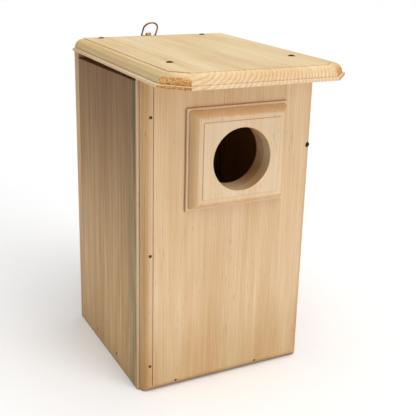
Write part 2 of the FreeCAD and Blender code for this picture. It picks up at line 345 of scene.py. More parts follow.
def drill(board, radius_mm, depth_mm, spots, sides=24):
    """Drills holes of one size with one bit, from 2 mm outside the board at each spot."""
    bit = turned("bit", [(-2.0, radius_mm), (depth_mm, radius_mm)], sides)
    carve(board, [set_out("bits", bit, spots)])


def fixings(cad_node, axis, way, face=None, spin=0.0):
    """Where one CAD node's fasteners enter: the middle of each of its separate solids, driven one
    way along an axis from a board's face, or from the near end of their own box. Each is turned a
    little further than the last."""
    if face is None:
        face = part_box(cad_node)[0 if way > 0 else 1][axis]
    others = [i for i in range(3) if i != axis]
    reach = 12 * MM  # points nearer than this belong to one fastener
    groups = []
    for vertex in frame["nodes"][cad_node].data.vertices:
        here = (vertex.co[others[0]], vertex.co[others[1]])
        near = next((group for group in groups if math.dist(group[0], here) < reach), None)
        if near:
            near.append(here)
        else:
            groups.append([here])
    along = Vector()
    along[axis] = way
    spots = []
    for number, group in enumerate(sorted(groups)):
        place = Vector()
        place[axis] = face
        for i, other in enumerate(others):
            place[other] = (min(at[i] for at in group) + max(at[i] for at in group)) / 2
        spots.append((place, along, spin * (number + 1)))
    return spots


def mount_at(name):
    """Where the record puts a mount."""
    return Vector(next(m for m in frame["record"]["mounts"] if m["name"] == name)["pos_m"])


def hinge_at(name):
    """A point on a joint's axis."""
    return Vector(next(j for j in frame["joints"] if j["name"] == name)["pos_m"])


def hand_over(piece, body, cad_node, material):
    """Dresses a finished piece, hangs it on its body and hides the CAD node that it stands for."""
    piece.data.materials.clear()
    piece.data.materials.append(material)
    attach(piece, body)
    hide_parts(cad_node)
    deselect()


# ---------------------------------------------------------------- finishes


# settings that many nodes share
TINT = {"data_type": "RGBA", "blend_type": "MULTIPLY"}
BLEND = {"data_type": "RGBA"}
SMOOTH = {"interpolation_type": "SMOOTHSTEP"}
TIMES_PLUS, TIMES = {"operation": "MULTIPLY_ADD"}, {"operation": "MULTIPLY"}
MINUS, OVER = {"operation": "SUBTRACT"}, {"operation": "DIVIDE"}
TO_THE, SIZE_OF = {"operation": "POWER"}, {"operation": "ABSOLUTE"}


def wire(tree, made, links):
    """Fills a node's sockets, by name or number, with plain values or other nodes' outputs."""
    for key, value in links.items():
        if isinstance(value, bpy.types.NodeSocket):
            tree.links.new(value, made.inputs[key])
        else:
            made.inputs[key].default_value = value


def node(tree, kind, settings=None, links=None, stops=()):
    """Adds one shader node with its settings and links. stops are the (place, colour) pairs of a
    colour ramp."""
    made = tree.nodes.new("ShaderNode" + kind)
    for key, value in (settings or {}).items():
        setattr(made, key, value)
    wire(tree, made, links or {})
    for number, (place, shade) in enumerate(stops):
        ramp = made.color_ramp.elements
        stop = ramp[number] if number < 2 else ramp.new(place)
        stop.position, stop.color = place, shade
    return made


def streaks(tree, at, wide, long, detail, shift=(0, 0, 0), rough=0.5):
    """Unevenness that is drawn out along Z, with its width and length in mm."""
    drawn = node(tree, "Mapping", None, {
        "Vector": at, "Location": shift, "Scale": (1000 / wide, 1000 / wide, 1000 / long),
    }).outputs[0]
    return node(tree, "TexNoise", None,
                {"Vector": drawn, "Scale": 1.0, "Detail": detail, "Roughness": rough})


def blank(name):
    """A new material, its node tree and its shader."""
    material = bpy.data.materials.new(name)
    material.use_nodes = True
    return material, material.node_tree, material.node_tree.nodes["Principled BSDF"]


def planed_pine(name, early, late, pith, turn=(0, 0, 0), ring=3.0 * MM, contrast=0.5, sway_mm=8.0,
                streak=0.5, seed=0.0, blush="#F3E9DA", round_shade="#FFFFFF", marks=None):
    """Planed pine, bare: pale spring wood, darker summer wood in rings round the pith, fibre
    streaks, short resin ducts, and end grain wherever a cut crosses the rings. early and late are
    the two woods' colours. pith is a point on the tree's middle line and turn lays that line, the
    material's own Z, along the board. ring is the yearly growth. round_shade is the tint of
    painted shade on the mouldings' rounds, and marks adds what is peculiar to one board."""
    material, tree, skin = blank(name)
    spot = node(tree, "TexCoord")
    log = node(tree, "Mapping", {"vector_type": "TEXTURE"},
               {"Vector": spot.outputs["Object"], "Location": pith, "Rotation": turn}).outputs[0]
    # the rings sway over the board, crowd in bad years and ripple:
    # how wide and long each unevenness is, and how far it pushes them, in mm
    grown = log
    for wide, long, push, detail in ((120, 900, sway_mm, 2.0), (22, 500, 1.5 * ring / MM, 1.0),
                                     (14, 160, 1.5, 3.0)):
        shift = (seed, seed * 0.7 + wide, seed * 1.3)
        push_by = streaks(tree, log, wide, long, detail, shift).outputs["Color"]
        push_by = node(tree, "VectorMath", MINUS, {0: push_by, 1: (0.5, 0.5, 0.5)}).outputs[0]
        grown = node(tree, "VectorMath", TIMES_PLUS,
                     {0: push_by, 1: (push * MM, push * MM, 0), 2: grown}).outputs[0]
    # one saw-tooth per ring; the wave node repeats every 2 pi / 20 units
    rings = node(
        tree, "TexWave", {"wave_type": "RINGS", "rings_direction": "Z", "wave_profile": "SAW"},
        {"Vector": grown, "Scale": 2 * math.pi / 20 / ring, "Distortion": 0.0},
    ).outputs["Fac"]
    # growth darkens slowly through a summer and stops sharply in autumn
    summer = node(tree, "ValToRGB", None, {"Fac": rings}, [
        (place, (grey, grey, grey, 1)) for place, grey in (
            (0.0, 0.25), (0.1, 0.0), (0.5, 0.18), (0.86, 0.85), (0.95, 1.0), (1.0, 0.25))
    ]).outputs["Color"]

    # how wide and long the rest is, in mm
    fields = {}
    for key, wide, long, detail in (
        ("years", 16, 1200, 1.0),  # some years grow darker summer wood than others
        ("fibre", 1.1, 80, 4.0),  # real fibres are finer, drawn this coarse so that they show
        ("bundle", 3, 130, 4.0),  # fibres that took the plane differently
        ("band", 9, 400, 2.0),
        ("cloud", 52, 390, 2.0),
        ("drift", 45, 300, 3.0),  # warmer or pinker wood
        ("duct", 0.9, 12, 0.0),  # resin ducts
    ):
        shift = (seed + wide, seed, long * 0.01)
        fields[key] = streaks(tree, grown, wide, long, detail, shift, 0.6).outputs["Fac"]
    strength = node(tree, "MapRange", None, {
        "Value": fields["years"], "From Min": 0.3, "From Max": 0.7,
        "To Min": 0.4 * contrast, "To Max": 1.3 * contrast,
    }).outputs[0]

    # a cut across the fibres shows stronger rings, and is paler because its pores scatter light
    facing = node(tree, "Mapping", {"vector_type": "TEXTURE"},
                  {"Vector": spot.outputs["Normal"], "Rotation": turn}).outputs[0]
    endways = node(tree, "Math", SIZE_OF,
                   {0: node(tree, "SeparateXYZ", None, {"Vector": facing}).outputs["Z"]}).outputs[0]
    end = node(tree, "MapRange", SMOOTH,
               {"Value": endways, "From Min": 0.25, "From Max": 0.85}).outputs[0]
    strength = node(tree, "Math", TIMES_PLUS, {0: end, 1: 0.8, 2: strength}).outputs[0]
    dark = node(tree, "Math", TIMES, {0: summer, 1: strength}).outputs[0]
    open_pores = node(tree, "Math", TIMES, {0: end, 1: 0.85}).outputs[0]
    pale = node(tree, "Mix", BLEND, {0: open_pores, 6: early, 7: srgb("#E9D4BC")}).outputs[2]
    wood = node(tree, "Mix", BLEND, {0: dark, 6: pale, 7: late}).outputs[2]

    drift = node(tree, "MapRange", None,
                 {"Value": fields["drift"], "From Min": 0.35, "From Max": 0.65}).outputs[0]
    wood = node(tree, "Mix", TINT, {0: drift, 6: wood, 7: srgb(blush)}).outputs[2]
    tone = 1.0
    for key, swing in (("fibre", 0.09 * streak), ("bundle", 0.15 * streak),
                       ("band", 0.08 * streak), ("cloud", 0.035)):
        part = node(tree, "MapRange", None, {"Value": fields[key], "From Min": 0.3, "From Max": 0.7,
                                             "To Min": 1 - swing, "To Max": 1 + swing}).outputs[0]
        tone = node(tree, "Math", TIMES, {0: tone, 1: part}).outputs[0]
    # darker wood is warmer as well, so red loses less than blue
    red = node(tree, "Math", TO_THE, {0: tone, 1: 0.6}).outputs[0]
    blue = node(tree, "Math", TO_THE, {0: tone, 1: 1.35}).outputs[0]
    tint = node(tree, "CombineColor", None, {"Red": red, "Green": tone, "Blue": blue}).outputs[0]
    wood = node(tree, "Mix", TINT, {0: 1.0, 6: wood, 7: tint}).outputs[2]
    duct = node(tree, "MapRange", None, {"Value": fields["duct"], "From Min": 0.76,
                                         "From Max": 0.83, "To Min": 0.0, "To Max": 0.4}).outputs[0]
    wood = node(tree, "Mix", BLEND, {0: duct, 6: wood, 7: srgb("#8F5C33")}).outputs[2]

    # painted shade on the rounds, tinted darker and warmer: 0 on square faces, 1 at 45 degrees between two
    square = node(tree, "VectorMath", TIMES,
                  {0: spot.outputs["Normal"], 1: spot.outputs["Normal"]}).outputs[0]
    fourth = node(tree, "VectorMath", {"operation": "DOT_PRODUCT"},
                  {0: square, 1: square}).outputs["Value"]
    rubbed = node(tree, "Math", {"operation": "MULTIPLY_ADD", "use_clamp": True},
                  {0: fourth, 1: -2.6, 2: 2.6}).outputs[0]
    wood = node(tree, "Mix", TINT, {0: rubbed, 6: wood, 7: srgb(round_shade)}).outputs[2]
    if marks:
        wood = marks(tree, spot, wood)
    # painted shade in the steps and joints: darker and browner where ambient occlusion finds them closed in,
    # within 3 mm
    corner = node(tree, "AmbientOcclusion", {"samples": 6}, {"Distance": 3 * MM}).outputs["AO"]
    corner = node(tree, "MapRange", None, {"Value": corner, "From Min": 0.3, "From Max": 0.85,
                                           "To Min": 1.0, "To Max": 0.0}).outputs[0]
    wood = node(tree, "Mix", TINT, {0: corner, 6: wood, 7: srgb("#B0702C")}).outputs[2]

    # summer wood is denser and a little glossier, and a cross cut is duller
    rough = node(tree, "MapRange", None, {"Value": dark, "To Min": 0.62, "To Max": 0.48}).outputs[0]
    rough = node(tree, "Math", TIMES_PLUS, {0: end, 1: 0.15, 2: rough}).outputs[0]
    # fibres stand 0.06 mm proud after planing, and summer wood a little more
    relief = node(tree, "Math", TIMES_PLUS, {0: summer, 1: 0.5, 2: fields["fibre"]}).outputs[0]
    bump = node(tree, "Bump", None,
                {"Strength": 0.5, "Distance": 0.06 * MM, "Height": relief}).outputs[0]
    wire(tree, skin, {"Base Color": wood, "Roughness": rough, "Normal": bump,
                      "IOR": 1.5, "Specular IOR Level": 0.35})
    return material


def blue_stain_and_eave_shade(tree, spot, wood):
    """Sap stain in blue-grey streaks along the left board's front edge, wider towards the foot,
    painted shade as a brown tone that deepens towards the eave, and one resin streak near the top."""
    parts = node(tree, "SeparateXYZ", None, {"Vector": spot.outputs["Object"]})
    low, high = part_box("left_side_board")
    inward = node(tree, "Math", MINUS, {0: parts.outputs["Y"], 1: low.y}).outputs[0]
    height = node(tree, "Math", OVER, {0: parts.outputs["Z"], 1: high.z}).outputs[0]
    # ragged borders 9 mm wide and 110 mm long, and streaks 2.6 mm wide and 90 mm long
    ragged = streaks(tree, spot.outputs["Object"], 9, 110, 4.0).outputs["Fac"]
    streak = streaks(tree, spot.outputs["Object"], 2.6, 90, 4.0).outputs["Fac"]
    reach = node(tree, "Math", TIMES_PLUS, {0: height, 1: -0.022, 2: 0.031}).outputs[0]
    reach = node(tree, "Math", TIMES_PLUS, {0: ragged, 1: 0.028, 2: reach}).outputs[0]
    depth = node(tree, "Math", OVER, {0: inward, 1: reach}).outputs[0]
    mask = node(tree, "MapRange", SMOOTH, {"Value": depth, "From Min": 0.2, "From Max": 1.0,
                                           "To Min": 1.0, "To Max": 0.0}).outputs[0]
    streak = node(tree, "MapRange", None, {"Value": streak, "From Min": 0.4, "From Max": 0.6,
                                           "To Min": 0.05, "To Max": 1.0}).outputs[0]
    stain = node(tree, "Math", TIMES, {0: mask, 1: streak}).outputs[0]
    wood = node(tree, "Mix", TINT, {0: stain, 6: wood, 7: srgb("#B4C7CB")}).outputs[2]
    # resin streak: about 5 mm wide and 75 mm long, 36 mm behind the middle of the board
    resin_y, resin_z = 0.036, 0.337
    aside = node(tree, "Math", MINUS, {0: parts.outputs["Y"], 1: resin_y}).outputs[0]
    aside = node(tree, "Math", SIZE_OF, {0: aside}).outputs[0]
    up = node(tree, "Math", MINUS, {0: parts.outputs["Z"], 1: resin_z}).outputs[0]
    up = node(tree, "Math", SIZE_OF, {0: up}).outputs[0]
    up = node(tree, "MapRange", None, {"Value": up, "From Min": 0.012, "From Max": 0.038,
                                       "To Min": 0.75, "To Max": 0.0}).outputs[0]
    aside = node(tree, "MapRange", SMOOTH, {"Value": aside, "From Min": 0.0, "From Max": 0.0026,
                                            "To Min": 1.0, "To Max": 0.0}).outputs[0]
    resin = node(tree, "Math", TIMES, {0: aside, 1: up}).outputs[0]
    wood = node(tree, "Mix", TINT, {0: resin, 6: wood, 7: srgb("#CF9A62")}).outputs[2]
    # painted shade: the board is tinted darker and browner towards the top, under the eave
    eave = node(tree, "Math", TIMES_PLUS, {0: ragged, 1: 0.14, 2: height}).outputs[0]
    eave = node(tree, "MapRange", SMOOTH,
                {"Value": eave, "From Min": 0.3, "From Max": 1.15}).outputs[0]
    return node(tree, "Mix", TINT, {0: eave, 6: wood, 7: srgb("#A59377")}).outputs[2]


def browner_foot(tree, spot, wood):
    """The foot of the front board is a little darker and browner, to a ragged height."""
    height = node(tree, "SeparateXYZ", None, {"Vector": spot.outputs["Object"]}).outputs["Z"]
    # tongues 14 mm wide and 60 mm high
    tongues = streaks(tree, spot.outputs["Object"], 14, 60, 4.0).outputs["Fac"]
    height = node(tree, "Math", TIMES_PLUS, {0: tongues, 1: -0.06, 2: height}).outputs[0]
    mask = node(tree, "MapRange", SMOOTH, {"Value": height, "From Min": -0.02, "From Max": 0.1,
                                           "To Min": 1.0, "To Max": 0.0}).outputs[0]
    return node(tree, "Mix", TINT, {0: mask, 6: wood, 7: srgb("#EAE4D4")}).outputs[2]


def torn_corner(tree, spot, wood):
    """The cutter ran across the grain at the clipped corners, and left them torn and scorched."""
    parts = node(tree, "SeparateXYZ", None, {"Vector": spot.outputs["Normal"]})
    slant = node(tree, "Math", TIMES,
                 {0: parts.outputs["X"], 1: parts.outputs["Y"]}).outputs[0]
    slant = node(tree, "Math", SIZE_OF, {0: slant}).outputs[0]
    mask = node(tree, "MapRange", SMOOTH,
                {"Value": slant, "From Min": 0.06, "From Max": 0.3}).outputs[0]
    # torn tufts about 1.8 mm across
    tufts = node(tree, "TexNoise", None, {"Vector": spot.outputs["Object"], "Scale": 1000 / 1.8,
                                          "Detail": 3.0}).outputs["Fac"]
    scorch = node(tree, "ValToRGB", None, {"Fac": tufts}, [
        (0.3, srgb("#9A6A36")), (0.4, srgb("#DDAE72")),
        (0.48, srgb("#F4DAA8")), (0.62, srgb("#FFF4DA")),
    ]).outputs["Color"]
    return node(tree, "Mix", TINT, {0: mask, 6: wood, 7: scorch}).outputs[2]


def coated_steel(name, clean, worn, rough):
    """Steel wire or strip with a thin coat, mottled where it has worn or rusted."""
    material, tree, skin = blank(name)
    place = node(tree, "TexCoord").outputs["Object"]
    # spots 0.8 mm across; real ones are finer, drawn this coarse so that they show
    mottled = node(tree, "TexNoise", None,
                   {"Vector": place, "Scale": 1000 / 0.8, "Detail": 4.0}).outputs["Fac"]
    spots = node(tree, "MapRange", None,
                 {"Value": mottled, "From Min": 0.42, "From Max": 0.68}).outputs[0]
    steel = node(tree, "Mix", BLEND, {0: spots, 6: clean, 7: worn}).outputs[2]
    gloss = node(tree, "MapRange", None,
                 {"Value": mottled, "To Min": rough - 0.12, "To Max": rough + 0.18}).outputs[0]
    # pits 0.3 mm across and 0.03 mm deep
    pits = node(tree, "TexNoise", None,
                {"Vector": place, "Scale": 1000 / 0.3, "Detail": 2.0}).outputs["Fac"]
    bump = node(tree, "Bump", None,
                {"Strength": 0.3, "Distance": 0.03 * MM, "Height": pits}).outputs[0]
    wire(tree, skin, {"Base Color": steel, "Roughness": gloss, "Metallic": 0.6, "Normal": bump})
    return material


def plated_brass(name, bright, dull):
    """Brass plate over drawn steel: a warm satin gloss, with tarnish in patches 6 mm across."""
    material, tree, skin = blank(name)
    place = node(tree, "TexCoord").outputs["Object"]
    patch = node(tree, "TexNoise", None,
                 {"Vector": place, "Scale": 1000 / 6, "Detail": 3.0}).outputs["Fac"]
    tarnish = node(tree, "MapRange", None,
                   {"Value": patch, "From Min": 0.4, "From Max": 0.7}).outputs[0]
    plate = node(tree, "Mix", BLEND, {0: tarnish, 6: bright, 7: dull}).outputs[2]
    gloss = node(tree, "MapRange", None,
                 {"Value": patch, "To Min": 0.2, "To Max": 0.42}).outputs[0]
    # drawing lines 0.8 mm long and 0.2 mm apart
    drawn = streaks(tree, place, 0.8, 0.2, 2.0).outputs["Fac"]
    bump = node(tree, "Bump", None,
                {"Strength": 0.2, "Distance": 0.02 * MM, "Height": drawn}).outputs[0]
    wire(tree, skin, {"Base Color": plate, "Roughness": gloss, "Metallic": 1.0, "Normal": bump})
    return material


# ---------------------------------------------------------------- boards


def moulded_slab(name, x0, x1, y0, y1, moulded, clip=0.0, segments=12):
    """A board lying face up from z = 0, with the lip, quarter round and step run along the sides
    named in moulded. The other sides are left long, moulded too, and then sawn off square."""
    sizes = bpy.context.scene.nestbox_sizes
    spare = 60 * MM
    sides = {"left": (x0, 0, -1), "right": (x1, 0, 1), "low": (y0, 1, -1), "high": (y1, 1, 1)}
    out = {side: at + way * (0 if side in moulded else spare)
           for side, (at, axis, way) in sides.items()}
    slab = block(name, (out["left"], out["low"], 0),
                 (out["right"], out["high"], sizes.lip_thickness))
    if clip:
        pick_edges(slab, lambda a, b: (a - b).xy.length < 1e-6 and abs(a.y - y0) < 1e-6)
        bevel(clip)
    pick_faces(slab, lambda f: f.normal.z > 0.9)
    bpy.ops.mesh.inset(thickness=sizes.lip_width)
    pull((0, 0, sizes.round_radius))
    close_up()
    top = sizes.lip_thickness + sizes.round_radius
    pick_edges(slab, lambda a, b: a.z > top - 1e-5 and b.z > top - 1e-5)
    # a hair short of the whole height, so that no face is left without width
    bevel(sizes.round_radius * 0.998, segments)
    pick_faces(slab, lambda f: f.normal.z > 0.999 and f.center.z > top - 1e-5
               and len(f.vertices) > 3 and f.area > 0.001)
    bpy.ops.mesh.inset(thickness=sizes.step)
    pull((0, 0, sizes.step))
    close_up()
    tidy(slab, 0.06)
    for side, (at, axis, way) in sides.items():
        if side not in moulded:
            place, outward = Vector(), Vector()
            place[axis], outward[axis] = at, way
            trim(slab, place, outward)
    tidy(slab)
    return slab


def stand_up(piece, back_y):
    """Turns a board that lies face up so that its face looks along -Y."""
    piece.rotation_euler = (math.pi / 2, 0, 0)
    piece.location = (0, back_y, 0)
    return settle(piece)


def bore_entrance(board, face_y):
    """Bores the entrance through a board, starting 4 mm before its face."""
    hole = mount_at("entrance")
    start = Vector((hole.x, face_y - 4 * MM, hole.z))
    radius_mm = bpy.context.scene.nestbox_sizes.hole / 2 / MM
    drill(board, radius_mm, 30, [(start, (0, 1, 0), 0)], 128)


# radius and depths in mm of the holes that nail heads sink into
NAIL_BORE, NAIL_SINK, FRONT_NAIL_SINK = 1.9, 3, 4


class NESTBOX_OT_front_board(bpy.types.Operator):
    """Front board: moulded long edges, rounded foot, entrance and a ladder of saw cuts inside"""

    bl_idname = "nestbox.front_board"
    bl_label = "Front board"

    def execute(self, context):
        sizes, wood = context.scene.nestbox_sizes, context.scene.nestbox_wood
        low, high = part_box("front_board")
        board = moulded_slab("front_board_pine", low.x, high.x, 0, high.z, ("left", "right"))
        thick, past = high.y - low.y, 10 * MM
        foot = block("rounded_foot", (low.x - past, 0, -past),
                     (high.x + past, high.z + past, thick))
        pick_edges(foot, lambda a, b: max(a.y, b.y) < 1e-6 and min(a.z, b.z) > thick - 1e-6)
        bevel(sizes.round_radius, 12)
        carve(board, [foot], "INTERSECT")
        stand_up(board, high.y)
        bore_entrance(board, low.y)
        # footholds for the young birds, sawn 2 mm into the inside
        half, first, apart, number = 32 * MM, 150 * MM, 16 * MM, 6
        cut = block("saw_cut", (-half, -2 * MM, 0), (half, 1 * MM, sizes.kerf))
        middle = mount_at("entrance").x
        spots = [((middle, high.y, first + apart * i), (0, 0, 1), 0) for i in range(number)]
        carve(board, [set_out("saw_cuts", cut, spots)])
        nails = [spot for name in ("front_left_nails", "front_floor_nails")
                 for spot in fixings(name, 1, 1, low.y)]
        drill(board, NAIL_BORE, FRONT_NAIL_SINK, nails)
        drill(board, 3.45, 4.2, fixings("pivot_screw_front", 1, 1, low.y))
        ease(board, sizes.arris)
        # quarter-sawn and planed bare: fine straight lines down the board and a dull, dry skin
        finish = planed_pine(
            "pine, straight-grained, planed", wood.front_early, wood.front_late, (0.9, 0.35, 0),
            ring=wood.front_growth, contrast=0.5, sway_mm=6.4, streak=0.55, seed=1.3,
            blush="#F7EEE2", round_shade="#EDDCBF", marks=browner_foot,
        )
        hand_over(board, "box", "front_board", finish)
        return {"FINISHED"}


class NESTBOX_OT_entrance_plate(bpy.types.Operator):
    """Square moulded plate round the entrance hole"""

    bl_idname = "nestbox.entrance_plate"
    bl_label = "Entrance plate"

    def execute(self, context):
        sizes, wood = context.scene.nestbox_sizes, context.scene.nestbox_wood
        low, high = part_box("entrance_plate")
        sides = ("left", "right", "low", "high")
        plate = moulded_slab("entrance_plate_pine", low.x, high.x, low.z, high.z, sides)
        stand_up(plate, high.y)
        bore_entrance(plate, low.y)
        ease(plate, sizes.arris)
        # slow-grown wood off a spindle moulder: close faint lines, and painted shade on the rounds
        finish = planed_pine(
            "pine, close-grained, machined", wood.plate_early, wood.plate_late, (-0.75, 0.2, 0),
            ring=2.1 * MM, contrast=0.4, sway_mm=4.0, streak=0.42, seed=7.9,
            blush="#FAF2E6", round_shade="#F6E8D0",
        )
        hand_over(plate, "box", "entrance_plate", finish)
        return {"FINISHED"}


class NESTBOX_OT_roof(bpy.types.Operator):
    """Flat roof with clipped front corners, moulded on three sides, and bored for its screws"""

    bl_idname = "nestbox.roof"
    bl_label = "Roof"

    def execute(self, context):
        sizes, wood = context.scene.nestbox_sizes, context.scene.nestbox_wood
        low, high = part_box("roof_board")
        sides = ("left", "right", "low")
        roof = moulded_slab("roof_board_pine", low.x, high.x, low.y, high.y, sides, clip=sizes.clip)
        roof.location = (0, 0, low.z)
        settle(roof)
        drill(roof, 4.45, 2.6, fixings("roof_screws", 2, -1, high.z), 32)
        ease(roof, sizes.arris)
        # flat-sawn with the grain front to back: broad soft figure on top, arched rings in the
        # cut front edge, and corners torn by the cutter
        finish = planed_pine(
            "pine, flat-sawn roof board, planed", wood.roof_early, wood.roof_late,
            (-0.1, 0, 0.466), (math.pi / 2, 0, 0), ring=wood.roof_growth, contrast=0.45,
            sway_mm=12.8, streak=0.4, seed=4.4, round_shade="#F4EEDE", marks=torn_corner,
        )
        hand_over(roof, "box", "roof_board", finish)
        return {"FINISHED"}


class NESTBOX_OT_left_side(bpy.types.Operator):
    """Left side, whose top slopes a little to the rear"""

    bl_idname = "nestbox.left_side"
    bl_label = "Left side"

    def execute(self, context):
        sizes, wood = context.scene.nestbox_sizes, context.scene.nestbox_wood
        low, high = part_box("left_side_board")
        side = block("left_side_pine", low, high)
        fall = 4 * MM  # of the top, from front to rear
        pick_edges(side, lambda a, b: min(a.z, b.z) > high.z - 1e-6
                   and min(a.y, b.y) > high.y - 1e-6)
        bpy.ops.transform.translate(value=(0, 0, -fall))
        close_up()
        drill(side, NAIL_BORE, NAIL_SINK, fixings("left_floor_nails", 0, 1, low.x))
        ease(side, sizes.arris)
        # sapwood planed and left damp: strong streaks, a grey-blue front edge and painted shade darkening the top
        finish = planed_pine(
            "pine, sapwood with blue stain, planed", wood.side_early, wood.side_late,
            (0.25, 0.62, 0), ring=3.4 * MM, contrast=0.74, sway_mm=9.6, streak=1.4, seed=11.2,
            marks=blue_stain_and_eave_shade,
        )
        hand_over(side, "box", "left_side_board", finish)
        return {"FINISHED"}


class NESTBOX_OT_back_board(bpy.types.Operator):
    """Back board, bored for its nails and the rear pivot screw"""

    bl_idname = "nestbox.back_board"
    bl_label = "Back board"

    def execute(self, context):
        sizes, wood = context.scene.nestbox_sizes, context.scene.nestbox_wood
        low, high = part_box("back_board")
        back = block("back_board_pine", low, high)
        nails = [spot for name in ("back_left_nails", "back_floor_nails")
                 for spot in fixings(name, 1, -1, high.y)]
        drill(back, NAIL_BORE, NAIL_SINK, nails)
        drill(back, 3.9, 2.6, fixings("pivot_screw_back", 1, -1, high.y))
        ease(back, sizes.arris)
        # flat-sawn and planed: flames of darker summer wood up the middle
        finish = planed_pine(
            "pine, flat-sawn back board, planed", wood.back_early, wood.back_late, (0.03, 0.19, 0),
            (0.02, 0, 0), ring=5 * MM, contrast=0.7, sway_mm=16, streak=0.5, seed=15.0,
        )
        hand_over(back, "box", "back_board", finish)
        return {"FINISHED"}


class NESTBOX_OT_floor_board(bpy.types.Operator):
    """Floor with clipped corners that let water out"""

    bl_idname = "nestbox.floor_board"
    bl_label = "Floor board"

    def execute(self, context):
        sizes, wood = context.scene.nestbox_sizes, context.scene.nestbox_wood
        floor = block("floor_board_pine", *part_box("floor_board"))
        drain = 9 * MM  # cut off each corner
        pick_edges(floor, lambda a, b: (a - b).xy.length < 1e-6)
        bevel(drain)
        ease(floor, sizes.arris)
        # flat-sawn, planed once and left: broad figure and a dry skin
        finish = planed_pine(
            "pine, floor board, planed", wood.floor_early, wood.floor_late, (0, 0.3, -0.12),
            (0, math.pi / 2, 0), ring=4 * MM, contrast=0.6, sway_mm=12, streak=0.5, seed=19.0,
        )
        hand_over(floor, "box", "floor_board", finish)
        return {"FINISHED"}


class NESTBOX_OT_door(bpy.types.Operator):
    """Right side, which turns outwards on two screws"""

    bl_idname = "nestbox.door"
    bl_label = "Pivoting side"

    def execute(self, context):
        sizes, wood = context.scene.nestbox_sizes, context.scene.nestbox_wood
        low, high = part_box("side_door")
        door = block("side_door_pine", low, high)
        holes = fixings("pivot_screw_front", 1, 1, low.y)
        holes += fixings("pivot_screw_back", 1, -1, high.y)
        drill(door, 1.95, 16, holes)
        ease(door, sizes.arris)
        # rift-sawn and planed: even lines, slightly bowed over the board's height
        finish = planed_pine(
            "pine, pivoting side, planed", wood.door_early, wood.door_late, (-0.3, -0.5, 0),
            (0, 0.01, 0), ring=3.2 * MM, contrast=0.6, sway_mm=10.4, streak=0.5, seed=23.0,
        )
        hand_over(door, "door", "side_door", finish)
        return {"FINISHED"}


def fitted(name, pattern, spots, cad_node, material):
    """Sets out a group of the box's fasteners, shades their shanks smooth and hands it over."""
    group = set_out(name, pattern, spots)
    activate(group)
    bpy.ops.object.shade_smooth_by_angle(angle=math.radians(38))
    hand_over(group, "box", cad_node, material)


class NESTBOX_OT_nails(bpy.types.Operator):
    """Wire nails: slightly domed head, neck, shank and a long point"""

    bl_idname = "nestbox.nails"
    bl_label = "Nails"

    def execute(self, context):
        metal, head = context.scene.nestbox_metal, context.scene.nestbox_sizes.nail_head / 2 / MM
        # drawn wire without plating: brown-grey, and darker where damp wood has marked it
        steel = coated_steel("wire nail steel, dulled by damp", metal.nail, metal.nail_rust, 0.45)
        nail = turned("nail", [
            (0, head * 0.55), (0.12, head * 0.86), (0.34, head), (0.8, head), (1.0, 1.38),
            (1.6, 1.2), (39.0, 1.2), (41.95, 0.22),
        ], 20)
        for name, axis, way in (
            ("front_left_nails", 1, 1), ("front_floor_nails", 1, 1), ("left_floor_nails", 0, 1),
            ("back_left_nails", 1, -1), ("back_floor_nails", 1, -1),
        ):
            spots = fixings(name, axis, way)
            fitted(name + "_wire", copy_of(nail), spots, name, steel)
        bpy.data.objects.remove(nail)
        return {"FINISHED"}


def crossed(screw, size_mm, deep_mm):
    """Cuts the tapered cross of a driver into a head: one arm, and its copy turned square."""
    size, deep = size_mm * MM, deep_mm * MM
    arm = block("cross", (-size, -size * 0.22, -0.2 * MM), (size, size * 0.22, deep))
    pick_faces(arm, lambda face: face.normal.z > 0.9)
    bpy.ops.transform.resize(value=(0.35, 0.6, 1), center_override=(0, 0, deep))
    close_up()
    other = copy_of(arm)
    other.rotation_euler = (0, 0, math.pi / 2)
    settle(other)
    carve(screw, [arm, other])
    return screw


class NESTBOX_OT_screws(bpy.types.Operator):
    """Dark screws of the roof, the plate and the pivoting side"""

    bl_idname = "nestbox.screws"
    bl_label = "Screws"

    def execute(self, context):
        metal = context.scene.nestbox_metal
        # phosphate coat on steel: nearly black, soft sheen, rubbed where the driver turned
        dark = coated_steel("screw steel, dark phosphate coat", metal.screw, metal.screw_worn, 0.55)
        raised = [(0, 1.9), (0.15, 2.5), (0.5, 3.2), (0.95, 3.7), (1.6, 4.1), (1.75, 4.18),
                  (4.3, 1.9), (36.7, 1.9), (41.6, 0.35)]
        flush = [(0, 3.5), (0.2, 3.58), (2.6, 1.7), (21, 1.7), (25.9, 0.35)]
        pan = [(0, 1.9), (0.25, 2.8), (0.8, 3.22), (2.3, 3.3), (2.4, 1.9), (29, 1.9)]
        rear = [(0, 3.6), (0.2, 3.78), (2.4, 1.9), (31, 1.9)]
        for name, axis, way, rings, cross, deep, spin in (
            ("roof_screws", 2, -1, raised, 2.3, 2.0, 0.65),
            ("plate_screws", 1, -1, flush, 2.0, 1.3, 0.9),
            ("pivot_screw_front", 1, 1, pan, 1.9, 1.2, 0.4),
            ("pivot_screw_back", 1, -1, rear, 1.9, 1.2, 1.1),
        ):
            spots = fixings(name, axis, way, spin=spin)
            screw = crossed(turned("screw", rings), cross, deep)
            fitted(name + "_coated", screw, spots, name, dark)
        return {"FINISHED"}


